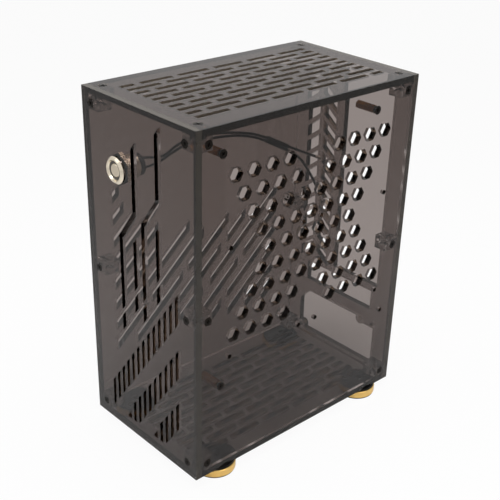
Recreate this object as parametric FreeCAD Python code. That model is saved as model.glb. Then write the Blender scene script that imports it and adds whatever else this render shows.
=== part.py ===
import FreeCAD, Part
import math
import os

# A small tower case for a mini-ITX computer: six sheets of smoked acrylic, screwed to
# twelve acrylic cubes, on four round feet, with one steel push button on the front.
# Millimetres. X runs across, Y from front to rear, Z up. The origin is the middle of the
# footprint, on the surface that the feet stand on.

V = FreeCAD.Vector
X_AXIS = V(1, 0, 0)
Y_AXIS = V(0, 1, 0)
Z_AXIS = V(0, 0, 1)

# The body over its sheets, and the sheets themselves
body_width = 112.0
body_depth = 191.5
body_height = 241.0
sheet = 4.5
panel_gap = 0.05

# The cubes that join the sheets, one in each corner and one half way up each upright edge
block_size = 10.0
middle_block_height = 117.8

# Black machine screws: M3, with flat heads sunk flush into the sheets
screw_radius = 1.5
screw_hole_play = 0.2
tapped_play = 0.02
tip_play = 0.2
head_radius = 2.8
head_depth = 1.3

# Mini-ITX board. At this case's size, the holes' places put them 154.94 mm apart along the
# case and 157.48 mm apart in height, as that standard asks.
board_hole_from_front = 20.3
board_hole_from_rear = 16.26
board_hole_set_back = 22.86
board_hole_z = 66.0
board_hole_below_roof = 17.52
board_hole_radius = 1.7
standoff_length = 15.0
standoff_flats = 5.0
standoff_thread_depth = 6.0
standoff_screw_reach = 4.5

# Two 2.5-inch drives side by side behind the board
drive_hole_across = 61.72
drive_hole_up = 76.6
drive_hole_radius = 1.6
drive_spacing = 77.7
drive_centre_y = 1.35
drive_centre_z = 123.9

# Honeycomb of vent holes in the right side
hexagon_radius = 5.2
hexagon_pitch = 14.6
hexagon_row_pitch = 13.5
hexagon_rows_each_way = 4
hexagon_kept_each_end = 4
hexagon_first_reach = 36.5
hexagon_centre_y = 0.65
hexagon_centre_z = 154.2

# Square-ended vent slots in the top and the bottom
vent_rows = 10
vent_row_pitch = 8.2
vent_width = 4.0
vent_length = 25.0
vent_bridge = 5.0
vent_stagger = 14.5
vent_field = 160.0

# Front artwork: long cranked slots and bands of slits, all cut on one slope
front_slope = 4.0 / 3.0
stroke_width = 3.6
stroke_twin_right = 23.8
stroke_twin_up = 15.8
crank_right_x = -4.2
crank_left_x = -19.4
crank_top_z = 215.3
crank_bend_z = 171.0
crank_foot_z = 98.5
crank_bridge = 4.1
crank_tail = 11.5
short_stroke_x = -4.6
short_stroke_top_z = 153.0
short_stroke_foot_z = 118.5
short_stroke_bridge = 4.5
short_stroke_tail = 11.6
slit_width = 3.0
slit_pitch = 6.0
slit_first_x = 37.0
slit_line_x = 35.3
slit_top_z = 128.2
slit_height = 21.2
slit_band_drop = 40.0
slit_counts = (13, 10, 5)
slit_floor_z = 10.4
slit_last_wide = 4.7
slit_last_high = 6.8

# Diagonal slits in the left side, one row for each line, with the stretches that are cut
left_slope = 0.9004
left_slit_width = 5.8
left_slit_lead = 0.6
left_row_pitch = 16.27
left_row_first_z = 148.1
left_row_runs = (
    [(18.5, 24.1)],
    [(18.5, 27.2)],
    [(18.5, 37.6)],
    [(18.5, 44.6)],
    [(18.5, 55.9)],
    [(18.5, 56.2)],
    [(18.5, 84.2)],
    [(18.5, 44.6), (49.7, 93.6)],
    [(35.8, 77.6), (83.2, 117.4)],
    [(73.8, 110.1), (116.8, 134.1)],
    [(74.8, 92.6), (100.0, 166.6)],
    [(92.5, 127.2), (134.2, 166.6)],
    [(101.7, 111.1), (117.2, 166.6)],
    [(117.9, 148.1), (153.0, 166.6)],
    [(135.6, 166.6)],
    [(153.0, 166.6)],
)

# Rear openings: board connectors, one expansion slot, power supply, and the angled vents
io_width = 44.45
io_height = 158.75
io_left_x = -5.7
io_above_board_hole = 9.0
expansion_width = 67.0
expansion_height = 15.9
expansion_left_x = -33.0
expansion_bar = 5.6
supply_left_x = -39.0
supply_right_x = 39.0
supply_floor_z = 7.0
supply_top_z = 43.0
supply_top_chamfer = 9.5
supply_step_in = 13.7
supply_step_drop = 4.4
supply_hole_radius = 1.6
supply_ear_radius = 4.2
supply_ear_in = 1.8
supply_top_hole_drop = 1.6
supply_top_holes_apart = 12.0
louvre_count = 12
louvre_pitch = 12.45
louvre_height = 8.8
louvre_slope = 0.75
louvre_first_top_z = 90.0
louvre_left_x = -41.4
louvre_left_width = 11.7
louvre_bar = 4.4
louvre_right_width = 12.1

# Feet: a black base with a gold ring round it and a rubber pad below
foot_height = 8.0
foot_from_side = 12.3
foot_from_front = 26.0
foot_from_rear = 22.1
foot_ring_radius = 14.7
foot_ring_inner = 12.95
foot_ring_height = 5.1
foot_ring_bevel = 0.4
foot_base_radius = 13.9
foot_pad_thickness = 1.1
foot_pad_radius = 14.2
foot_pad_hole = 6.5
foot_seat_play = 0.05
foot_screw_radius = 2.0
foot_screw_head_radius = 3.6
foot_screw_head_height = 2.2
foot_well_radius = 4.2
foot_well_depth = 2.8

# Push button: 16 mm steel switch with a light ring
button_x = -21.8
button_below_roof = 46.1
barrel_radius = 7.95
barrel_hole_play = 0.15
barrel_length = 16.0
bezel_radius = 9.0
bezel_proud = 2.0
bezel_bevel = 1.3
bezel_dish = 0.7
gasket_thickness = 0.4
ring_radius = 6.1
ring_depth = 3.2
ring_sunk = 1.2
cap_radius = 4.4
cap_play = 0.08
cap_proud = 0.2
cap_round = 0.4
button_travel = 1.5
collar_radius = 5.0
collar_thickness = 1.2
chamber_radius = 5.4
chamber_depth = 8.0
stem_radius = 2.0
stem_length = 3.5
stem_play = 0.05
stem_end_play = 0.5
nut_flats = 19.0
nut_thickness = 3.0
plug_radius = 7.2
plug_length = 4.0

# Leads of the button, with the routes that the photograph shows, chosen by hand
lead_diameter = 1.7
lead_spacing = 1.9
sleeve_radius = 2.3
sleeve_length = 14.5
sleeve_bore_play = 0.02
crimp_radius = 1.0
crimp_length = 4.0

# Places that follow from the sizes above
left = -body_width / 2
right = body_width / 2
front = -body_depth / 2
rear = body_depth / 2
underside = foot_height
roof = foot_height + body_height
block_inset = sheet + panel_gap + block_size / 2
block_x = body_width / 2 - block_inset
block_y = body_depth / 2 - block_inset
block_heights = {
    "lower": underside + block_inset,
    "middle": underside + middle_block_height,
    "upper": roof - block_inset,
}
button_z = roof - button_below_roof
screw_length = sheet + panel_gap + block_size / 2 - screw_radius - tip_play
screw_hole_radius = screw_radius + screw_hole_play
tapped_radius = screw_radius + tapped_play
board_hole_front = front + board_hole_from_front
board_hole_rear = rear - board_hole_from_rear
board_hole_low = underside + board_hole_z
board_hole_high = roof - board_hole_below_roof
standoff_places = [
    (board_hole_front, board_hole_low),
    (board_hole_front, board_hole_high),
    (board_hole_rear - board_hole_set_back, board_hole_high),
]
empty_board_hole = (board_hole_rear, board_hole_low)
foot_places = {
    "front_left": (left + foot_from_side, front + foot_from_front),
    "front_right": (right - foot_from_side, front + foot_from_front),
    "rear_left": (left + foot_from_side, rear - foot_from_rear),
    "rear_right": (right - foot_from_side, rear - foot_from_rear),
}


def box(x, y, z):
    """Block between the low and high value along each axis."""
    return Part.makeBox(x[1] - x[0], y[1] - y[0], z[1] - z[0], V(x[0], y[0], z[0]))


def rod(start, direction, radius, length):
    """Round bar or the tool for a round hole."""
    return Part.makeCylinder(radius, length, start, direction)


def prism(outline, plane, low, high):
    """Solid over a flat outline. The plane names the axes that the outline's pairs run along."""
    seats = {"XY": lambda a, b: V(a, b, low), "XZ": lambda a, b: V(a, low, b), "YZ": lambda a, b: V(low, a, b)}
    normals = {"XY": Z_AXIS, "XZ": Y_AXIS, "YZ": X_AXIS}
    corners = [seats[plane](a, b) for a, b in outline]
    wire = Part.makePolygon(corners + corners[:1])
    return Part.Face(wire).extrude(normals[plane] * (high - low))


def turned(profile, point, direction):
    """Solid of revolution from (radius, height) pairs, its axis along the direction."""
    corners = [V(radius, 0, height) for radius, height in profile]
    wire = Part.makePolygon(corners + corners[:1])
    solid = Part.Face(wire).revolve(V(0, 0, 0), Z_AXIS, 360)
    solid.Placement = FreeCAD.Placement(point, FreeCAD.Rotation(Z_AXIS, direction))
    return solid


def hexagon(centre, radius, first_angle):
    """Corners of a regular hexagon."""
    angles = [math.radians(first_angle + 60 * i) for i in range(6)]
    return [(centre[0] + radius * math.cos(a), centre[1] + radius * math.sin(a)) for a in angles]


def cut(solid, tools):
    """One solid less all its cut-outs."""
    return solid.cut(tools).Solids[0]


def write(name, shape):
    """One STEP file for each piece, named after it."""
    shape.exportStep("parts/" + name + ".step")


# Screws and their holes


def flat_screw(seat, direction, length):
    """Flat-headed screw, flush with the face that it is sunk into."""
    profile = [(0, 0), (head_radius, 0), (screw_radius, head_depth), (screw_radius, length), (0, length)]
    return turned(profile, seat, direction)


def flat_screws(seats, direction):
    """The screws of one panel, each ending short of the next one's bore in its cube."""
    return Part.makeCompound([flat_screw(seat, direction, screw_length) for seat in seats])


def sunk_hole(seat, direction):
    """Tool for a clearance hole with a flared mouth for the screw's head."""
    profile = [(0, 0), (head_radius + screw_hole_play, 0), (screw_hole_radius, head_depth),
               (screw_hole_radius, 2 * sheet), (0, 2 * sheet)]
    return turned(profile, seat, direction)


def upright_seats(outer, axis):
    """Where the six screws of an upright panel sit, two at each height."""
    seats = []
    for height in block_heights.values():
        for side in (-1, 1):
            seats.append(V(side * block_x, outer, height) if axis == "Y" else V(outer, side * block_y, height))
    return seats


def flat_seats(outer):
    """Where the four screws of the top or the bottom panel sit."""
    return [V(x, y, outer) for x in (-block_x, block_x) for y in (-block_y, block_y)]


# Cubes that join the panels


def corner_block(x, y, z, upright_bore):
    """Acrylic cube tapped right through, once for each panel that meets there."""
    half = block_size / 2
    cube = box((x - half, x + half), (y - half, y + half), (z - half, z + half))
    bores = [
        rod(V(x - block_size, y, z), X_AXIS, tapped_radius, 2 * block_size),
        rod(V(x, y - block_size, z), Y_AXIS, tapped_radius, 2 * block_size),
    ]
    if upright_bore:
        bores.append(rod(V(x, y, z - block_size), Z_AXIS, tapped_radius, 2 * block_size))
    return cut(cube, bores)


def write_blocks():
    for end, y in (("front", -block_y), ("rear", block_y)):
        for side, x in (("left", -block_x), ("right", block_x)):
            for level, z in block_heights.items():
                name = end + "_" + side + "_" + level + "_block"
                write(name, corner_block(x, y, z, level != "middle"))


# Panels


def stroke(points, width):
    """Outline of a slot along a bent line, with both ends cut on the front's slope."""
    half = width / 2
    ahead = []
    for near, far in zip(points, points[1:]):
        length = math.hypot(far[0] - near[0], far[1] - near[1])
        ahead.append(((far[0] - near[0]) / length, (far[1] - near[1]) / length))
    sides = {1: [], -1: []}
    for side, edge in sides.items():
        edge.append((points[0][0] + side * half, points[0][1] + side * half * front_slope))
        for i in range(1, len(points) - 1):
            before = (-ahead[i - 1][1], ahead[i - 1][0])
            after = (-ahead[i][1], ahead[i][0])
            spread = 1 + before[0] * after[0] + before[1] * after[1]
            reach = side * half / spread
            edge.append((points[i][0] + reach * (before[0] + after[0]), points[i][1] + reach * (before[1] + after[1])))
        edge.append((points[-1][0] + side * half, points[-1][1] + side * half * front_slope))
    return sides[1] + sides[-1][::-1]


def front_strokes():
    """The two cranked slots and the two short ones, each with its separate lower stretch."""
    crank_drop = (crank_right_x - crank_left_x) * front_slope
    bend = [
        (crank_right_x, crank_top_z),
        (crank_right_x, crank_bend_z),
        (crank_left_x, crank_bend_z - crank_drop),
        (crank_left_x, crank_foot_z),
    ]
    crank_end = crank_foot_z - crank_bridge
    short_end = short_stroke_foot_z - short_stroke_bridge
    lines = [
        bend,
        [(crank_left_x, crank_end), (crank_left_x, crank_end - crank_tail)],
        [(short_stroke_x, short_stroke_top_z), (short_stroke_x, short_stroke_foot_z)],
        [(short_stroke_x, short_end), (short_stroke_x, short_end - short_stroke_tail)],
    ]
    outlines = []
    for line in lines:
        for shift in (0, 1):
            moved = [(x + shift * stroke_twin_right, z + shift * stroke_twin_up + underside) for x, z in line]
            outlines.append(stroke(moved, stroke_width))
    return outlines


def front_slits():
    """Three bands of upright slits under one slope, the lower two running into a point."""
    outlines = []
    for band, count in enumerate(slit_counts):
        for k in range(count):
            centre = slit_first_x - k * slit_pitch
            low_x = centre - slit_width / 2
            high_x = centre + slit_width / 2
            floor = underside + slit_floor_z
            if band > 0 and k == count - 1:
                outlines.append([(high_x - slit_last_wide, floor), (high_x, floor), (high_x, floor + slit_last_high)])
                continue
            top = [underside + slit_top_z - band * slit_band_drop + (x - slit_line_x) * front_slope
                   for x in (low_x, high_x)]
            foot = [z - slit_height for z in top]
            outline = [(low_x, top[0]), (high_x, top[1]), (high_x, max(foot[1], floor))]
            if foot[0] < floor < foot[1]:
                outline.append((high_x - (foot[1] - floor) / front_slope, floor))
            outline.append((low_x, max(foot[0], floor)))
            outlines.append(outline)
    return outlines


def front_panel():
    body = box((left, right), (front, front + sheet), (underside, roof))
    tools = [sunk_hole(seat, Y_AXIS) for seat in upright_seats(front, "Y")]
    for outline in front_strokes() + front_slits():
        tools.append(prism(outline, "XZ", front - sheet, front + 2 * sheet))
    button = V(button_x, front - sheet, button_z)
    tools.append(rod(button, Y_AXIS, barrel_radius + barrel_hole_play, 3 * sheet))
    return cut(body, tools)


def supply_holes():
    """Screw holes of the power supply: one in the lower left ear, two over the step at the right."""
    low = underside + supply_floor_z + supply_ear_in
    high = underside + supply_top_z - supply_top_hole_drop
    step = supply_right_x - supply_step_in
    return [(supply_left_x + supply_ear_in, low), (step, high), (step + supply_top_holes_apart, high)]


def supply_opening(near, far):
    """Tool for the power supply opening, which leaves a round ear about the first two holes."""
    floor = underside + supply_floor_z
    top = underside + supply_top_z
    step = supply_right_x - supply_step_in
    outline = [
        (supply_left_x, floor),
        (supply_right_x, floor),
        (supply_right_x, top - supply_step_drop),
        (step, top - supply_step_drop),
        (step, top),
        (supply_left_x + supply_top_chamfer, top),
        (supply_left_x, top - supply_top_chamfer),
    ]
    ears = [rod(V(x, near, z), Y_AXIS, supply_ear_radius, far - near) for x, z in supply_holes()[:2]]
    return cut(prism(outline, "XZ", near, far), ears)


def louvres():
    """Angled vent openings that fall away to both sides of one upright bar."""
    peak_left = louvre_left_x + louvre_left_width
    peak_right = peak_left + louvre_bar
    outlines = []
    for n in range(louvre_count):
        top = underside + louvre_first_top_z + n * louvre_pitch
        for near, width, side in ((peak_left, louvre_left_width, -1), (peak_right, louvre_right_width, 1)):
            far = near + side * width
            fall = width * louvre_slope
            outlines.append([
                (near, top),
                (far, top - fall),
                (far, top - fall - louvre_height),
                (near, top - louvre_height),
            ])
    return outlines


def rear_panel():
    body = box((left, right), (rear - sheet, rear), (underside, roof))
    tools = [sunk_hole(seat, -Y_AXIS) for seat in upright_seats(rear, "Y")]
    through = (rear - 2 * sheet, rear + sheet)
    io_floor = board_hole_low + io_above_board_hole
    tools.append(box((io_left_x, io_left_x + io_width), through, (io_floor, io_floor + io_height)))
    slot_top = io_floor - expansion_bar
    slot = (expansion_left_x, expansion_left_x + expansion_width)
    tools.append(box(slot, through, (slot_top - expansion_height, slot_top)))
    tools.append(supply_opening(*through))
    for x, z in supply_holes():
        tools.append(rod(V(x, rear - 2 * sheet, z), Y_AXIS, supply_hole_radius, 3 * sheet))
    for outline in louvres():
        tools.append(prism(outline, "XZ", *through))
    return cut(body, tools)


def side_body(inner, outer):
    """Blank of a side panel, which stands between the front, rear, top and bottom ones."""
    margin = sheet + panel_gap
    return box((inner, outer), (front + margin, rear - margin), (underside + margin, roof - margin))


def left_slits():
    """Slits on one slope. Each is cut from its row's line downwards, square to the row."""
    tilt = math.atan(left_slope)
    along = 1 / math.cos(tilt)
    lift = left_slit_lead * along
    drop = (left_slit_width - left_slit_lead) * along
    outlines = []
    for row, runs in enumerate(left_row_runs):
        line = underside + left_row_first_z - row * left_row_pitch
        for start, end in runs:
            low_z = line + left_slope * start
            high_z = line + left_slope * end
            outlines.append([
                (front + start, low_z + lift),
                (front + end, high_z + lift),
                (front + end, high_z - drop),
                (front + start, low_z - drop),
            ])
    return outlines


def left_panel():
    tools = [sunk_hole(seat, X_AXIS) for seat in upright_seats(left, "X")]
    for outline in left_slits():
        tools.append(prism(outline, "YZ", left - sheet, left + 2 * sheet))
    return cut(side_body(left, left + sheet), tools)


def honeycomb():
    """Centres of the vent holes: every row reaches further out, and the middle stays closed."""
    centres = []
    rows = range(-hexagon_rows_each_way, hexagon_rows_each_way + 1)
    for row in rows:
        reach = hexagon_first_reach + abs(row) * hexagon_pitch / 2
        count = int(round(2 * reach / hexagon_pitch)) + 1
        for i in range(count):
            if hexagon_kept_each_end <= i < count - hexagon_kept_each_end:
                continue
            y = hexagon_centre_y - reach + i * hexagon_pitch
            centres.append((y, underside + hexagon_centre_z + row * hexagon_row_pitch))
    return centres


def drive_holes():
    """Four screw holes for each of the two drives."""
    holes = []
    for drive in (-1, 1):
        for across in (-1, 1):
            for up in (-1, 1):
                y = drive_centre_y + drive * drive_spacing / 2 + across * drive_hole_across / 2
                z = underside + drive_centre_z + up * drive_hole_up / 2
                holes.append((y, z))
    return holes


def right_panel():
    seats = upright_seats(right, "X") + [V(right, y, z) for y, z in standoff_places]
    tools = [sunk_hole(seat, -X_AXIS) for seat in seats]
    start = right - 2 * sheet
    tools.append(rod(V(start, *empty_board_hole), X_AXIS, board_hole_radius, 3 * sheet))
    for y, z in drive_holes():
        tools.append(rod(V(start, y, z), X_AXIS, drive_hole_radius, 3 * sheet))
    for centre in honeycomb():
        tools.append(prism(hexagon(centre, hexagon_radius, 0), "YZ", start, right + sheet))
    return cut(side_body(right - sheet, right), tools)


def vent_slots(low, high):
    """Rows of slots along the case, every second row pushed back by the stagger."""
    slots = []
    pitch = vent_length + vent_bridge
    field = (-vent_field / 2, vent_field / 2)
    for row in range(vent_rows):
        x = (row - (vent_rows - 1) / 2) * vent_row_pitch
        start = field[0] - (vent_stagger if row % 2 == 0 else 0)
        while start < field[1]:
            low_y = max(start, field[0])
            high_y = min(start + vent_length, field[1])
            if high_y > low_y:
                slots.append(box((x - vent_width / 2, x + vent_width / 2), (low_y, high_y), (low, high)))
            start += pitch
    return slots


def flat_panel(low):
    """Top or bottom sheet, between the front and the rear one, over the full width."""
    margin = sheet + panel_gap
    return box((left, right), (front + margin, rear - margin), (low, low + sheet))


def top_panel():
    tools = vent_slots(roof - 2 * sheet, roof + sheet)
    tools += [sunk_hole(seat, -Z_AXIS) for seat in flat_seats(roof)]
    return cut(flat_panel(roof - sheet), tools)


def bottom_panel():
    tools = vent_slots(underside - sheet, underside + 2 * sheet)
    tools += [sunk_hole(seat, Z_AXIS) for seat in flat_seats(underside)]
    for x, y in foot_places.values():
        tools.append(rod(V(x, y, underside - sheet), Z_AXIS, foot_screw_radius + tapped_play, 3 * sheet))
    return cut(flat_panel(underside), tools)


# Board standoffs


def standoff(y, z):
    """Hexagonal brass pillar, threaded at both ends."""
    root = right - sheet
    body = prism(hexagon((y, z), standoff_flats / math.sqrt(3), 30), "YZ", root - standoff_length, root)
    bores = [
        rod(V(root - standoff_length, y, z), X_AXIS, tapped_radius, standoff_thread_depth),
        rod(V(root - standoff_thread_depth, y, z), X_AXIS, tapped_radius, standoff_thread_depth),
    ]
    return cut(body, bores)


def write_standoffs():
    length = sheet + standoff_screw_reach
    write("board_standoffs", Part.makeCompound([standoff(y, z) for y, z in standoff_places]))
    screws = [flat_screw(V(right, y, z), -X_AXIS, length) for y, z in standoff_places]
    write("standoff_screws", Part.makeCompound(screws))


# Feet


def write_feet():
    ring_top = foot_pad_thickness + foot_ring_height
    well_top = foot_pad_thickness + foot_well_depth
    base = [
        (foot_well_radius, foot_pad_thickness),
        (foot_ring_inner - foot_seat_play, foot_pad_thickness),
        (foot_ring_inner - foot_seat_play, ring_top),
        (foot_base_radius, ring_top),
        (foot_base_radius, foot_height),
        (foot_screw_radius + screw_hole_play, foot_height),
        (foot_screw_radius + screw_hole_play, well_top),
        (foot_well_radius, well_top),
    ]
    ring = [
        (foot_ring_inner, foot_pad_thickness),
        (foot_ring_radius, foot_pad_thickness),
        (foot_ring_radius, ring_top - foot_ring_bevel),
        (foot_ring_radius - foot_ring_bevel, ring_top),
        (foot_ring_inner, ring_top),
    ]
    pad = [(foot_pad_hole, 0), (foot_pad_radius, 0), (foot_pad_radius, foot_pad_thickness),
           (foot_pad_hole, foot_pad_thickness)]
    screw = [
        (0, well_top - foot_screw_head_height),
        (foot_screw_head_radius, well_top - foot_screw_head_height),
        (foot_screw_head_radius, well_top),
        (foot_screw_radius, well_top),
        (foot_screw_radius, foot_height + sheet),
        (0, foot_height + sheet),
    ]
    screws = []
    for name, (x, y) in foot_places.items():
        floor = V(x, y, 0)
        write(name + "_foot_base", turned(base, floor, Z_AXIS))
        write(name + "_foot_ring", turned(ring, floor, Z_AXIS))
        write(name + "_foot_pad", turned(pad, floor, Z_AXIS))
        screws.append(turned(screw, floor, Z_AXIS))
    write("foot_screws", Part.makeCompound(screws))


# Push button, worked out along its own axis from the outer face of the front panel inwards


def write_button():
    seat = V(button_x, front, button_z)
    face = -bezel_proud
    bezel = [
        (ring_radius, face + ring_sunk),
        (ring_radius + bezel_dish, face),
        (bezel_radius - bezel_bevel, face),
        (bezel_radius, face + bezel_bevel),
        (bezel_radius, -gasket_thickness),
        (barrel_radius, -gasket_thickness),
        (barrel_radius, barrel_length),
        (0, barrel_length),
        (0, face + chamber_depth + stem_length + stem_end_play),
        (stem_radius + stem_play, face + chamber_depth + stem_length + stem_end_play),
        (stem_radius + stem_play, face + chamber_depth),
        (chamber_radius, face + chamber_depth),
        (chamber_radius, face + ring_sunk + ring_depth),
        (ring_radius, face + ring_sunk + ring_depth),
    ]
    gasket = [(barrel_radius + barrel_hole_play, -gasket_thickness), (bezel_radius - gasket_thickness, -gasket_thickness),
              (bezel_radius - gasket_thickness, 0), (barrel_radius + barrel_hole_play, 0)]
    ring = [
        (cap_radius + cap_play, face + ring_sunk),
        (ring_radius - foot_seat_play, face + ring_sunk),
        (ring_radius - foot_seat_play, face + ring_sunk + ring_depth),
        (cap_radius + cap_play, face + ring_sunk + ring_depth),
    ]
    cap_face = face + ring_sunk - cap_proud
    collar_top = face + ring_sunk + ring_depth + cap_play
    stem_end = face + chamber_depth + stem_length - button_travel
    cap = [
        (0, cap_face),
        (cap_radius - cap_round, cap_face),
        (cap_radius, cap_face + cap_round),
        (cap_radius, collar_top),
        (collar_radius, collar_top),
        (collar_radius, collar_top + collar_thickness),
        (stem_radius, collar_top + collar_thickness),
        (stem_radius, stem_end),
        (0, stem_end),
    ]
    write("power_button_bezel", turned(bezel, seat, Y_AXIS))
    write("power_button_gasket", turned(gasket, seat, Y_AXIS))
    write("power_button_light_ring", turned(ring, seat, Y_AXIS))
    write("power_button_cap", turned(cap, seat, Y_AXIS))
    nut = prism(hexagon((seat.x, seat.z), nut_flats / math.sqrt(3), 30), "XZ", front + sheet,
                front + sheet + nut_thickness)
    thread = rod(V(seat.x, front, seat.z), Y_AXIS, barrel_radius + foot_seat_play, 3 * sheet)
    write("power_button_nut", cut(nut, [thread]))
    end = V(seat.x, front + barrel_length, seat.z)
    write("power_button_contact_block", rod(end, Y_AXIS, plug_radius, plug_length))


# Leads: round tubes of straight runs joined by tangent arcs


def route(points):
    """Wire along the points, each corner rounded as wide as its two runs allow."""
    edges = []
    radii = []
    at = points[0]
    for i in range(1, len(points) - 1):
        before = points[i] - points[i - 1]
        after = points[i + 1] - points[i]
        shorter = min(before.Length, after.Length)
        turn = before.getAngle(after)
        into = V(before).normalize()
        out = V(after).normalize()
        trim = 0.45 * shorter
        radius = trim / math.tan(turn / 2)
        start = points[i] - into * trim
        end = points[i] + out * trim
        inward = V(out - into).normalize()
        middle = points[i] + inward * (radius / math.cos(turn / 2) - radius)
        edges.append(Part.LineSegment(at, start).toShape())
        edges.append(Part.Arc(start, middle, end).toShape())
        radii.append(round(radius, 1))
        at = end
    edges.append(Part.LineSegment(at, points[-1]).toShape())
    return Part.Wire(edges), radii


def cord(name, points, diameter):
    wire, radii = route(points)
    section = Part.Wire(Part.Circle(points[0], points[1] - points[0], diameter / 2).toShape())
    tube = wire.makePipeShell([section], True, False)
    share = tube.Volume / (math.pi * diameter * diameter / 4 * wire.Length)
    print(name, "length", round(wire.Length, 1), "volume share", round(share, 4), "radii", radii)
    write(name, tube)


def write_leads():
    """Two leads rise from the button, run side by side through a sleeve and part again."""
    back = front + barrel_length + plug_length
    sleeve_from = V(22.6, front + 76.0, roof - 27.1)
    sleeve_to = V(34.8, front + 97.3, roof - 38.6)
    along = V(sleeve_to - sleeve_from).normalize()
    beside = V(0, -along.z, along.y).normalize() * (lead_spacing / 2)
    switch = [
        V(button_x - 2.4, back, roof - 43.8),
        V(button_x - 2.4, front + 27.0, roof - 43.8),
        V(-18.2, front + 31.4, roof - 43.7),
        V(-12.0, front + 34.2, roof - 40.2),
        V(-6.6, front + 38.0, roof - 33.2),
        V(0.4, front + 46.2, roof - 27.6),
        V(7.6, front + 53.4, roof - 24.8),
        V(15.4, front + 64.9, roof - 24.6),
        sleeve_from + beside,
        sleeve_to + beside,
        V(46.0, front + 104.2, roof - 40.4),
    ]
    light = [
        V(button_x + 2.4, back, roof - 48.4),
        V(button_x + 2.4, front + 27.0, roof - 48.4),
        V(-13.0, front + 30.8, roof - 43.8),
        V(-6.0, front + 35.6, roof - 36.6),
        V(0.6, front + 43.4, roof - 30.2),
        V(8.2, front + 53.6, roof - 27.4),
        V(15.2, front + 64.6, roof - 26.4),
        sleeve_from - beside,
        sleeve_to - beside,
        V(40.2, front + 103.4, roof - 49.4),
        V(44.6, front + 107.4, roof - 61.1),
    ]
    for name, points in (("switch_lead", switch), ("light_lead", light)):
        cord(name, points, lead_diameter)
        away = V(points[-1] - points[-2]).normalize()
        write(name + "_crimp", rod(points[-1], away, crimp_radius, crimp_length))
    start = (sleeve_from + sleeve_to) / 2 - along * (sleeve_length / 2)
    bores = [rod(start + offset - along, along, lead_diameter / 2 + sleeve_bore_play, sleeve_length + 2)
             for offset in (beside, beside * -1)]
    write("lead_sleeve", cut(rod(start, along, sleeve_radius, sleeve_length), bores))


def main():
    os.makedirs("parts", exist_ok=True)
    write("front_panel", front_panel())
    write("rear_panel", rear_panel())
    write("left_panel", left_panel())
    write("right_panel", right_panel())
    write("top_panel", top_panel())
    write("bottom_panel", bottom_panel())
    write_blocks()
    write("front_panel_screws", flat_screws(upright_seats(front, "Y"), Y_AXIS))
    write("rear_panel_screws", flat_screws(upright_seats(rear, "Y"), -Y_AXIS))
    write("left_panel_screws", flat_screws(upright_seats(left, "X"), X_AXIS))
    write("right_panel_screws", flat_screws(upright_seats(right, "X"), -X_AXIS))
    write("top_panel_screws", flat_screws(flat_seats(roof), -Z_AXIS))
    write("bottom_panel_screws", flat_screws(flat_seats(underside), Z_AXIS))
    write_standoffs()
    write_feet()
    write_button()
    write_leads()


main()
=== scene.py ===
import bmesh
import bpy
import math
import numpy as np
from mathutils import Matrix, Vector


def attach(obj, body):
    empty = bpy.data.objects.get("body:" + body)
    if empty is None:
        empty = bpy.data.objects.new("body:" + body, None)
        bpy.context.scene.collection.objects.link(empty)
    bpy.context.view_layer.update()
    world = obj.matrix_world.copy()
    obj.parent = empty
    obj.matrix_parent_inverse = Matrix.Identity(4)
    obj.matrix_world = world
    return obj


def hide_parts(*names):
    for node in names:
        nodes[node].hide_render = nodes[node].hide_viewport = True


# A small tower case for a mini-ITX computer: smoked acrylic sheets screwed to acrylic cubes,
# four feet with gold rings, and one steel push button with its leads. Metres, in the frame
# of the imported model: X across, Y from front to rear, Z up.

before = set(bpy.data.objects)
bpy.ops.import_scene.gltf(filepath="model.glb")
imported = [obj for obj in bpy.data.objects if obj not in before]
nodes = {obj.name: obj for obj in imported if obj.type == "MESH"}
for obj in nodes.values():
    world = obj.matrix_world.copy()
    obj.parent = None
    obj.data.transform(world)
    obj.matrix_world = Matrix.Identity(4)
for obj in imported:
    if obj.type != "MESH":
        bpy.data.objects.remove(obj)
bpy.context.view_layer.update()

BLOCKS = [name for name in nodes if name.endswith("_block") and name != "power_button_contact_block"]
FEET = [end + "_" + side + "_foot" for end in ("front", "rear") for side in ("left", "right")]

# Middle of the button's face
BUTTON_X = -0.0218
BUTTON_Z = 0.2029


# Camera, solved from the straight edges of the case

def place_camera():
    """Camera at the viewing angle of the photograph."""
    data = bpy.data.cameras.new("camera")
    data.lens = 68.07
    data.sensor_width = 36
    data.shift_x = -0.0228
    data.shift_y = 0.0496
    data.clip_start = 0.02
    data.clip_end = 20
    azimuth = math.radians(46.4458)
    roll = math.radians(1.9525)
    back = Vector((0.64251, -0.61082, 0.46270)).normalized()
    level = Vector((math.cos(azimuth), math.sin(azimuth), 0))
    upright = back.cross(level)
    right = level * math.cos(roll) + upright * math.sin(roll)
    up = upright * math.cos(roll) - level * math.sin(roll)
    turn = Matrix((right, up, back)).transposed().to_4x4()
    camera = bpy.data.objects.new("camera", data)
    camera.matrix_world = Matrix.Translation((0.43766, -0.40565, 0.41868)) @ turn
    bpy.context.scene.collection.objects.link(camera)
    bpy.context.scene.camera = camera


# Material tools

WHITE = "#FFFFFF"


def linear(code):
    """Linear colour of an sRGB hex code."""
    parts = [int(code[i:i + 2], 16) / 255 for i in (1, 3, 5)]
    return [p / 12.92 if p <= 0.04045 else ((p + 0.055) / 1.055) ** 2.4 for p in parts] + [1]


def add(tree, kind, inputs=(), **settings):
    """Adds a node, with its settings, and with a value or a link for each input named."""
    node = tree.nodes.new(kind)
    for name, value in settings.items():
        setattr(node, name, value)
    for name, value in dict(inputs).items():
        if isinstance(value, bpy.types.NodeSocket):
            tree.links.new(value, node.inputs[name])
        else:
            node.inputs[name].default_value = value
    return node


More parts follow.
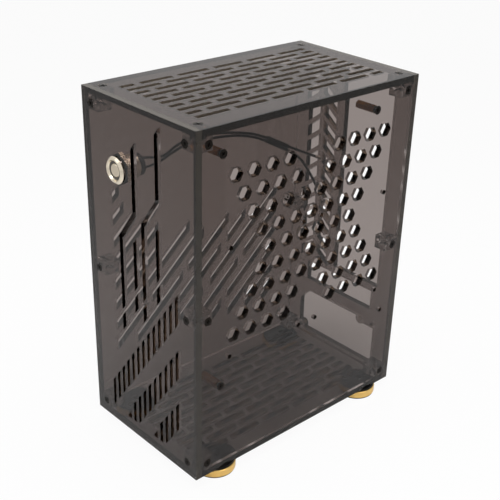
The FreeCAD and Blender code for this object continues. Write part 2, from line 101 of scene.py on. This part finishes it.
def material(name):
    """An empty material, its node tree, and the coordinates of the piece that wears it."""
    made = bpy.data.materials.new(name)
    made.use_nodes = True
    tree = made.node_tree
    tree.nodes.clear()
    return made, tree, add(tree, "ShaderNodeTexCoord").outputs


def noise(tree, place, scale, detail):
    """Clouds, 1 / scale metres wide."""
    return add(tree, "ShaderNodeTexNoise", {"Vector": place, "Scale": scale,
                                            "Detail": detail}).outputs["Fac"]


def waves(tree, place, scale, distortion, **settings):
    """Bands or rings, 0.314 / scale metres apart."""
    return add(tree, "ShaderNodeTexWave", {"Vector": place, "Scale": scale, "Distortion": distortion,
                                           "Detail": 2.0}, **settings).outputs["Fac"]


def between(tree, value, low, high, start=0.0, end=1.0):
    """Runs from low to high while the value runs from start to end."""
    return add(tree, "ShaderNodeMapRange", {"Value": value, "From Min": start, "From Max": end,
                                            "To Min": low, "To Max": high}).outputs["Result"]


def reckon(tree, operation, *values):
    """One step of arithmetic on values or links."""
    return add(tree, "ShaderNodeMath", dict(enumerate(values)), operation=operation).outputs["Value"]


def choose(tree, share, first, second):
    """The first value where the share is 0, and the second where it is 1."""
    return add(tree, "ShaderNodeMix", {"Factor": share, 2: first, 3: second},
               data_type="FLOAT").outputs[0]


def tint(tree, share, first, second):
    """The first colour where the share is 0, and the second where it is 1."""
    return add(tree, "ShaderNodeMix", {"Factor": share, 6: first, 7: second},
               data_type="RGBA").outputs[2]


def relief(tree, height, strength, distance):
    """Bump, for marks finer than the mesh."""
    return add(tree, "ShaderNodeBump", {"Height": height, "Strength": strength,
                                        "Distance": distance}).outputs["Normal"]


def surface(tree, inputs, smoke=None):
    """The surface of a material, and the colour and density of the smoke inside it, if any."""
    shader = add(tree, "ShaderNodeBsdfPrincipled", inputs)
    ends = {"Surface": shader.outputs["BSDF"]}
    if smoke:
        colour, density = smoke
        inside = add(tree, "ShaderNodeVolumeAbsorption", {"Color": linear(colour), "Density": density})
        ends["Volume"] = inside.outputs["Volume"]
    add(tree, "ShaderNodeOutputMaterial", ends)


def give(made, *pieces):
    """Puts a material on pieces or on nodes by name."""
    for piece in pieces:
        shown = nodes[piece] if isinstance(piece, str) else piece
        shown.data.materials.clear()
        shown.data.materials.append(made)


# Materials

ACRYLIC_IOR = 1.49
ACRYLIC_SHINE = "#BCBCBC"
SHEET_SMOKE = ("#A6968F", 395.0)
CUBE_SMOKE = ("#8F8880", 40.0)
WALL_DARK = "#A89A8A"
WALL_LIGHT = "#C8BAA8"


def wall_frost_and_painted_light(tree, place, face_axis, slot_frost_and_painted_light, edge_frost):
    """How milky the cut walls are, partly a real frost and partly painted light. In the slots,
    frost begins half way through the sheet and is full near its upper, right or rear face, so
    that the wall is painted lit near that face and shaded deeper in the slot. The outer edges,
    at the ends of the sheet's box, have a frost of their own."""
    box = add(tree, "ShaderNodeSeparateXYZ", {"Vector": place["Generated"]}).outputs
    # Painted light: the frost grows towards the upper, right or rear face, so the wall looks lit there
    # and shaded deeper in the slot
    frost_and_painted_light = between(tree, box[face_axis], 0.0, slot_frost_and_painted_light, 0.5, 0.85)
    for other in "XYZ".replace(face_axis, ""):
        within = reckon(tree, "COMPARE", box[other], 0.5, 0.498)
        frost_and_painted_light = choose(tree, within, edge_frost, frost_and_painted_light)
    return frost_and_painted_light


def smoked_acrylic(name, face_axis, slot_frost_and_painted_light, edge_frost):
    """Cast acrylic sheet, tinted through, laser cut. The eye gets a clear brown grey glass that
    darkens where sheets lie behind each other, with hair scratches from wiping, and edges that
    the laser melted smooth, so that they look nearly black along the sheet and brown where a
    slot is narrow, with fine beam lines through the thickness and a little frost in the slots,
    stronger near one face as painted light there and painted shade deeper in the slot."""
    made, tree, place = material(name)
    # Hair scratches are 0.02 mm wide on the real sheet and are drawn 0.3 mm wide to show
    wiping = add(tree, "ShaderNodeMapping", {"Vector": place["Object"], "Rotation": (0.5, 0.3, 0.6),
                                             "Scale": (1, 1, 14)})
    hairs = noise(tree, wiping.outputs["Vector"], 240.0, 4.0)
    film = noise(tree, place["Object"], 28.0, 3.0)
    hazy = between(tree, reckon(tree, "MULTIPLY", hairs, film), 0.0, 0.02, 0.36, 0.55)
    # Cut walls are the faces that don't look along the sheet's thickness
    looks = add(tree, "ShaderNodeSeparateXYZ", {"Vector": place["Normal"]}).outputs[face_axis]
    wall = reckon(tree, "LESS_THAN", reckon(tree, "ABSOLUTE", looks), 0.9)
    # Frost in the slots, with painted light near one face and painted shade deeper in the slot
    frost_and_painted_light = wall_frost_and_painted_light(tree, place, face_axis, slot_frost_and_painted_light, edge_frost)
    # Beam lines run through the thickness, 0.2 mm apart, and are drawn 0.6 mm apart to show
    squash = [0.02 if axis == face_axis else 1 for axis in "XYZ"]
    across = add(tree, "ShaderNodeMapping", {"Vector": place["Object"], "Scale": squash})
    beam = noise(tree, across.outputs["Vector"], 1600.0, 2.0)
    dull = between(tree, beam, 0.02, 0.09, 0.3, 0.7)
    browned = tint(tree, beam, linear(WALL_DARK), linear(WALL_LIGHT))
    clear = reckon(tree, "SUBTRACT", 1.0, reckon(tree, "MULTIPLY", wall, frost_and_painted_light))
    surface(tree, {"Base Color": tint(tree, wall, linear(WHITE), browned), "IOR": ACRYLIC_IOR,
                   "Specular Tint": linear(ACRYLIC_SHINE), "Transmission Weight": clear,
                   "Roughness": choose(tree, wall, hazy, dull),
                   "Normal": relief(tree, reckon(tree, "MULTIPLY", beam, wall), 0.05, 0.00002)},
            smoke=SHEET_SMOKE)
    return made


def acrylic_cube():
    """Cubes sawn from a lighter acrylic bar and polished. The eye gets clear grey blocks in which
    the tapped holes show as dark screws."""
    made, tree, place = material("acrylic_cube")
    # Saw lines, 0.5 mm apart
    saw = waves(tree, place["Object"], 640.0, 3.0, bands_direction="Z")
    surface(tree, {"Base Color": linear(WHITE), "IOR": ACRYLIC_IOR, "Transmission Weight": 1.0,
                   "Roughness": between(tree, saw, 0.02, 0.06)}, smoke=CUBE_SMOKE)
    return made


def black_oxide():
    """Steel screws, black oxide finish. The eye gets a satin black with brown blotches."""
    made, tree, place = material("black_oxide_steel")
    # Blotches of the oxide bath, about 0.8 mm
    blotch = noise(tree, place["Object"], 1250.0, 4.0)
    surface(tree, {"Base Color": tint(tree, blotch, linear("#100F0E"), linear("#302B27")),
                   "Metallic": 1.0, "Roughness": between(tree, blotch, 0.28, 0.5)})
    return made


def turned_brass():
    """Hexagonal brass rod, turned. The eye gets warm yellow metal with drawn lines along it and
    darker tarnish."""
    made, tree, place = material("turned_brass")
    # Drawing lines along the rod, 0.12 mm apart, drawn 0.25 mm to show
    drawn = add(tree, "ShaderNodeMapping", {"Vector": place["Object"], "Scale": (0.05, 1, 1)})
    lines = noise(tree, drawn.outputs["Vector"], 4000.0, 2.0)
    tarnish = noise(tree, place["Object"], 260.0, 5.0)
    surface(tree, {"Base Color": tint(tree, tarnish, linear("#744318"), linear("#B98238")),
                   "Metallic": 1.0, "Roughness": between(tree, lines, 0.2, 0.42),
                   "Normal": relief(tree, lines, 0.3, 0.00003)})
    return made


def black_anodised():
    """Turned aluminium, anodised black. The eye gets a deep satin black with a fine grain."""
    made, tree, place = material("black_anodised_aluminium")
    grain = noise(tree, place["Object"], 2200.0, 3.0)
    surface(tree, {"Base Color": tint(tree, grain, linear("#060605"), linear("#100F0E")),
                   "Roughness": between(tree, grain, 0.32, 0.5), "Specular IOR Level": 0.15,
                   "Normal": relief(tree, grain, 0.25, 0.00004)})
    return made


def gold_plate():
    """Satin gold plating on a turned ring. The eye gets warm gold with turning lines round it."""
    made, tree, place = material("satin_gold_plate")
    # Turning lines, stacked up the ring, 0.6 mm apart
    turning = waves(tree, place["Object"], 530.0, 1.5, bands_direction="Z")
    bloom = noise(tree, place["Object"], 180.0, 4.0)
    surface(tree, {"Base Color": tint(tree, bloom, linear("#F4C26C"), linear("#FFDC8C")),
                   "Metallic": 1.0, "Roughness": between(tree, turning, 0.18, 0.34),
                   "Normal": relief(tree, turning, 0.25, 0.00003)})
    return made


def rubber():
    """Moulded black rubber. The eye gets a dull, slightly dusty black."""
    made, tree, place = material("black_rubber")
    dust = noise(tree, place["Object"], 900.0, 5.0)
    surface(tree, {"Base Color": tint(tree, dust, linear("#151413"), linear("#2E2B29")),
                   "Roughness": 0.85, "Specular IOR Level": 0.3,
                   "Normal": relief(tree, dust, 0.4, 0.00005)})
    return made


def turned_steel(name, dark, light):
    """Stainless steel, turned on a lathe. The eye gets a pale metal with fine rings round the
    middle of the button."""
    made, tree, place = material(name)
    centred = add(tree, "ShaderNodeMapping", {"Vector": place["Object"],
                                              "Location": (-BUTTON_X, 0, -BUTTON_Z)})
    # Turning rings, 0.1 mm apart on the real face, drawn 0.6 mm apart to show
    rings = waves(tree, centred.outputs["Vector"], 530.0, 0.6, wave_type="RINGS", rings_direction="Y")
    smear = noise(tree, place["Object"], 320.0, 3.0)
    surface(tree, {"Base Color": tint(tree, smear, linear(dark), linear(light)),
                   "Metallic": 1.0, "Roughness": between(tree, rings, 0.16, 0.3),
                   "Normal": relief(tree, rings, 0.1, 0.00002)})
    return made


def light_ring():
    """Milky ring over an unlit lamp. The eye gets a narrow grey band, darker than the steel."""
    made, tree, place = material("translucent_acetal")
    cloud = noise(tree, place["Object"], 700.0, 2.0)
    surface(tree, {"Base Color": tint(tree, cloud, linear("#4A4641"), linear("#6E6962")),
                   "IOR": 1.48, "Roughness": 0.3})
    return made


def moulded_nylon():
    """Black nylon, moulded. The eye gets a satin black with a fine spark grain."""
    made, tree, place = material("black_nylon")
    # Spark grain of the mould, 0.3 mm
    cells = add(tree, "ShaderNodeTexVoronoi", {"Vector": place["Object"], "Scale": 3300.0})
    spark = cells.outputs["Distance"]
    surface(tree, {"Base Color": tint(tree, spark, linear("#141313"), linear("#232120")),
                   "IOR": 1.53, "Roughness": between(tree, spark, 0.4, 0.6),
                   "Normal": relief(tree, spark, 0.3, 0.00004)})
    return made


def lead_insulation(name, dark, light, gloss):
    """Extruded PVC on wire. The eye gets a dark satin skin with slight waviness."""
    made, tree, place = material(name)
    waver = noise(tree, place["Object"], 900.0, 3.0)
    surface(tree, {"Base Color": tint(tree, waver, linear(dark), linear(light)), "IOR": 1.53,
                   "Roughness": gloss, "Specular IOR Level": 0.2,
                   "Normal": relief(tree, waver, 0.3, 0.00008)})
    return made


def tinned_copper():
    """Crimped contacts, tinned. The eye gets dull silver with small dents from the crimping tool."""
    made, tree, place = material("tinned_copper")
    dents = noise(tree, place["Object"], 1400.0, 3.0)
    surface(tree, {"Base Color": tint(tree, dents, linear("#9C9890"), linear("#D3D0C8")),
                   "Metallic": 1.0, "Roughness": 0.38, "Normal": relief(tree, dents, 0.5, 0.0001)})
    return made


# Leads of the button: the routes of the model's tubes, as control points of smooth curves

LEAD_DIAMETER = 0.0017
SLEEVE_FROM = Vector((0.0226, -0.01975, 0.2219))
SLEEVE_TO = Vector((0.0348, 0.00155, 0.2104))
SLEEVE_ALONG = (SLEEVE_TO - SLEEVE_FROM).normalized()
SLEEVE_BESIDE = Vector((0, -SLEEVE_ALONG.z, SLEEVE_ALONG.y)).normalized() * 0.00095

SWITCH_ROUTE = [
    (-0.0242, -0.07575, 0.2052), (-0.0242, -0.06875, 0.2052), (-0.0182, -0.06435, 0.2053),
    (-0.0120, -0.06155, 0.2088), (-0.0066, -0.05775, 0.2158), (0.0004, -0.04955, 0.2214),
    (0.0076, -0.04235, 0.2242), (0.0154, -0.03085, 0.2244),
    SLEEVE_FROM + SLEEVE_BESIDE, SLEEVE_TO + SLEEVE_BESIDE, (0.0460, 0.00845, 0.2086)]
LIGHT_ROUTE = [
    (-0.0194, -0.07575, 0.2006), (-0.0194, -0.06875, 0.2006), (-0.0130, -0.06495, 0.2052),
    (-0.0060, -0.06015, 0.2124), (0.0006, -0.05235, 0.2188), (0.0082, -0.04215, 0.2216),
    (0.0152, -0.03115, 0.2226),
    SLEEVE_FROM - SLEEVE_BESIDE, SLEEVE_TO - SLEEVE_BESIDE, (0.0402, 0.00765, 0.1996),
    (0.0446, 0.01165, 0.1879)]


def lead(name, route, finish, node):
    """One lead, limp and thin, on a smooth curve through its route."""
    curve = bpy.data.curves.new(name, "CURVE")
    curve.dimensions = "3D"
    curve.bevel_depth = LEAD_DIAMETER / 2
    curve.bevel_resolution = 4
    curve.use_fill_caps = True
    spline = curve.splines.new("NURBS")
    spline.points.add(len(route) - 1)
    for point, at in zip(spline.points, route):
        point.co = (at[0], at[1], at[2], 1)
    spline.order_u = 3
    spline.use_endpoint_u = True
    spline.resolution_u = 10
    piece = bpy.data.objects.new(name, curve)
    bpy.context.scene.collection.objects.link(piece)
    give(finish, piece)
    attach(piece, "case")
    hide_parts(node)


# Screws with a cross recess and a rolled thread

HEAD_RADIUS = 0.0028
HEAD_DEPTH = 0.0013
HEAD_SUNK = 0.00004
HEAD_CHAMFER = 0.0001
SCREW_RADIUS = 0.0015
THREAD_PITCH = 0.0005
THREAD_DEPTH = 0.0003
ROWS_A_TURN = 4
AROUND = 28

# Height, reach and half width of the recess's wings, a little above the head and at the bottom
RECESS = ((0.0002, 0.0016, 0.00042), (-0.0013, 0.0006, 0.00022))

# Corners nearer to each other than this, across the screws, belong to one screw
SCREW_SPREAD = 0.008

# Each screw of a group came to rest at another turn
SCREW_TURN = math.radians(37)
SHARP_ANGLE = math.radians(32)


def mesh_piece(name, mesh):
    """A new piece that holds a mesh."""
    piece = bpy.data.objects.new(name, mesh)
    bpy.context.scene.collection.objects.link(piece)
    return piece


def stacked_mesh(name, rings):
    """One closed skin through rings of points, with a cap at each end."""
    shape = bmesh.new()
    corners = [[shape.verts.new(at) for at in ring] for ring in rings]
    shape.faces.new(corners[0])
    shape.faces.new(corners[-1])
    for upper, lower in zip(corners, corners[1:]):
        for i in range(len(upper)):
            j = (i + 1) % len(upper)
            shape.faces.new((upper[i], upper[j], lower[j], lower[i]))
    bmesh.ops.recalc_face_normals(shape, faces=shape.faces)
    mesh = bpy.data.meshes.new(name)
    shape.to_mesh(mesh)
    shape.free()
    return mesh


def ring_points(radii, height):
    """Points round the Z axis, at a radius each."""
    return [(radius * math.cos(2 * math.pi * i / AROUND), radius * math.sin(2 * math.pi * i / AROUND),
             height) for i, radius in enumerate(radii)]


def blank_mesh(length):
    """A flat headed screw without its recess: the head, then the helix of the thread, from the
    sheet's face at Z = 0 down to Z = -length."""
    threaded = length - HEAD_DEPTH
    rows = round(threaded / THREAD_PITCH * ROWS_A_TURN)
    rings = [ring_points([HEAD_RADIUS - HEAD_CHAMFER] * AROUND, -HEAD_SUNK),
             ring_points([HEAD_RADIUS] * AROUND, -HEAD_SUNK - HEAD_CHAMFER)]
    for row in range(rows + 1):
        # The groove fades out at the head and ends at full depth at the tip
        grooves = [abs(2 * ((row / ROWS_A_TURN + i / AROUND) % 1) - 1) if 0 < row < rows
                   else row / rows for i in range(AROUND)]
        rings.append(ring_points([SCREW_RADIUS - THREAD_DEPTH * groove for groove in grooves],
                                 -HEAD_DEPTH - threaded * row / rows))
    return stacked_mesh("blank", rings)


def recess_mesh():
    """Cross shaped driver tip, whose wings taper from 3 mm across at the head to 1.2 mm."""
    rings = []
    for height, reach, half in RECESS:
        wing = ((half, -half, height), (reach, -half, height), (reach, half, height))
        rings.append([Matrix.Rotation(turn * math.pi / 2, 3, "Z") @ Vector(at)
                      for turn in range(4) for at in wing])
    return stacked_mesh("recess", rings)


def screw_mesh(length):
    """The blank with its cross recess cut in."""
    screw = mesh_piece("screw", blank_mesh(length))
    tip = mesh_piece("tip", recess_mesh())
    cutting = screw.modifiers.new("recess", "BOOLEAN")
    cutting.object = tip
    cutting.operation = "DIFFERENCE"
    cutting.solver = "EXACT"
    seen = screw.evaluated_get(bpy.context.evaluated_depsgraph_get())
    mesh = bpy.data.meshes.new_from_object(seen)
    bpy.data.objects.remove(screw)
    bpy.data.objects.remove(tip)
    return mesh


def screw_places(node, axis):
    """The box of each screw of a group, from the corners of the group's mesh."""
    corners = np.array([v.co for v in nodes[node].data.vertices])
    across = np.delete(corners, axis, 1)
    found = []
    for at, corner in zip(across, corners):
        for group in found:
            if np.hypot(*(group[0] - at)) < SCREW_SPREAD:
                group[1].append(corner)
                break
        else:
            found.append((at, [corner]))
    return [(np.min(group[1], 0), np.max(group[1], 0)) for group in found]


def screws(node, outward, finish):
    """Replaces a group of plain screws by screws with a recess and a thread. outward is the
    way that their heads look."""
    axis = [abs(v) for v in outward].index(1)
    turn = Vector((0, 0, 1)).rotation_difference(Vector(outward)).to_matrix().to_4x4()
    whole = bmesh.new()
    for number, (low, high) in enumerate(screw_places(node, axis)):
        head = (low + high) / 2
        head[axis] = high[axis] if sum(outward) > 0 else low[axis]
        spin = Matrix.Rotation(SCREW_TURN * number, 4, "Z")
        screw = screw_mesh(high[axis] - low[axis])
        screw.transform(Matrix.Translation(Vector(head)) @ turn @ spin)
        whole.from_mesh(screw)
    mesh = bpy.data.meshes.new(node + "_cut")
    whole.to_mesh(mesh)
    whole.free()
    mesh.shade_smooth()
    mesh.set_sharp_from_angle(angle=SHARP_ANGLE)
    piece = mesh_piece(node + "_cut", mesh)
    give(finish, piece)
    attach(piece, "case")
    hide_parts(node)


# Room: a pale floor and soft light

FLOOR_REACH = 4
FLOOR_DROP = 0.0003
LAMP_AIM = Vector((0, 0, 0.12))

# Name, place, side and power of each lamp
LAMPS = (("above", (0.04, -0.04, 0.62), 0.4, 3.4),
         ("key", (-0.5, -1.1, 1.5), 1.0, 2.5),
         ("side", (1.4, 0.2, 1.1), 0.8, 2.0))


def white_for_sight(tree, straight, through, mirrored):
    """How much of a ray sees plain white: straight from the eye, through glass, or in a mirror."""
    path = add(tree, "ShaderNodeLightPath").outputs
    most = 0.0
    for kind, share in (("Camera", straight), ("Transmission", through), ("Glossy", mirrored)):
        part = reckon(tree, "MULTIPLY", path["Is " + kind + " Ray"], share)
        most = reckon(tree, "MAXIMUM", part, most)
    return most


def surround():
    """World that is white to the eye and lights the object weakly."""
    world = bpy.data.worlds.new("room")
    bpy.context.scene.world = world
    world.use_nodes = True
    tree = world.node_tree
    tree.nodes.clear()
    seen = add(tree, "ShaderNodeBackground", {"Color": linear(WHITE), "Strength": 1.0})
    fill = add(tree, "ShaderNodeBackground", {"Color": linear(WHITE), "Strength": 0.2})
    both = add(tree, "ShaderNodeMixShader", {0: white_for_sight(tree, 1.0, 1.0, 0.6),
                                             1: fill.outputs["Background"],
                                             2: seen.outputs["Background"]})
    add(tree, "ShaderNodeOutputWorld", {"Surface": both.outputs["Shader"]})


def lay_floor():
    """Pale paper that keeps the shadow. It lies a little below the feet."""
    made, tree, place = material("pale_floor")
    paper = noise(tree, place["Object"], 40.0, 2.0)
    matt = add(tree, "ShaderNodeBsdfDiffuse", {"Color": tint(tree, paper, linear("#EFEFEF"),
                                                             linear("#F4F4F4"))})
    white = add(tree, "ShaderNodeEmission", {"Color": linear(WHITE), "Strength": 1.0})
    # Seen through glass, the floor keeps its shadow under the case and is white away from it
    away = add(tree, "ShaderNodeVectorMath", {0: place["Object"]}, operation="LENGTH")
    through = between(tree, away.outputs["Value"], 0.3, 0.95, 0.12, 0.3)
    both = add(tree, "ShaderNodeMixShader", {0: white_for_sight(tree, 0.95, through, 0.33),
                                             1: matt.outputs["BSDF"], 2: white.outputs["Emission"]})
    add(tree, "ShaderNodeOutputMaterial", {"Surface": both.outputs["Shader"]})
    shape = bmesh.new()
    bmesh.ops.create_grid(shape, x_segments=1, y_segments=1, size=FLOOR_REACH)
    mesh = bpy.data.meshes.new("floor")
    shape.to_mesh(mesh)
    shape.free()
    floor = mesh_piece("floor", mesh)
    floor.location.z = -FLOOR_DROP
    give(made, floor)


def hang_lamps():
    """Three soft lamps."""
    for name, at, side, power in LAMPS:
        data = bpy.data.lights.new(name, "AREA")
        data.size = side
        data.energy = power
        lamp = bpy.data.objects.new(name, data)
        lamp.location = at
        lamp.rotation_euler = (LAMP_AIM - Vector(at)).to_track_quat("-Z", "Y").to_euler()
        bpy.context.scene.collection.objects.link(lamp)


# The object

place_camera()

insulation = lead_insulation("black_pvc", "#0B0A0A", "#1A1817", 0.45)
shrink = lead_insulation("shrink_sleeve", "#080707", "#131211", 0.6)
lead("switch_wire", SWITCH_ROUTE, insulation, "switch_lead")
lead("light_wire", LIGHT_ROUTE, insulation, "light_lead")
give(shrink, "lead_sleeve")
give(tinned_copper(), "switch_lead_crimp", "light_lead_crimp")

# Sides, axis of the thickness, frost and painted light in the slots, frost on the outer edges
for sides, axis, slot_frost_and_painted_light, edge_frost in ((("left", "right"), "X", 0.04, 0.04),
                                            (("front", "rear"), "Y", 0.04, 0.10),
                                            (("bottom",), "Z", 0.4, 0.02), (("top",), "Z", 0.3, 0.02)):
    give(smoked_acrylic("smoked_acrylic_" + "_".join(sides), axis, slot_frost_and_painted_light, edge_frost),
         *[side + "_panel" for side in sides])
give(acrylic_cube(), *BLOCKS)
give(turned_brass(), "board_standoffs")

oxide = black_oxide()
for side, outward in (("front", (0, -1, 0)), ("rear", (0, 1, 0)), ("left", (-1, 0, 0)),
                      ("right", (1, 0, 0)), ("top", (0, 0, 1)), ("bottom", (0, 0, -1))):
    screws(side + "_panel_screws", outward, oxide)
screws("standoff_screws", (1, 0, 0), oxide)
give(oxide, "foot_screws")

anodised = black_anodised()
gold = gold_plate()
pad = rubber()
for foot in FEET:
    give(anodised, foot + "_base")
    give(gold, foot + "_ring")
    give(pad, foot + "_pad")

give(turned_steel("turned_steel", "#E2D6C2", "#FFF3DD"), "power_button_bezel", "power_button_nut")
give(turned_steel("turned_steel_cap", "#D6C9B5", "#EBDEC8"), "power_button_cap")
give(pad, "power_button_gasket")
give(light_ring(), "power_button_light_ring")
give(moulded_nylon(), "power_button_contact_block")

bpy.context.scene.view_settings.view_transform = "Standard"
surround()
lay_floor()
hang_lamps()
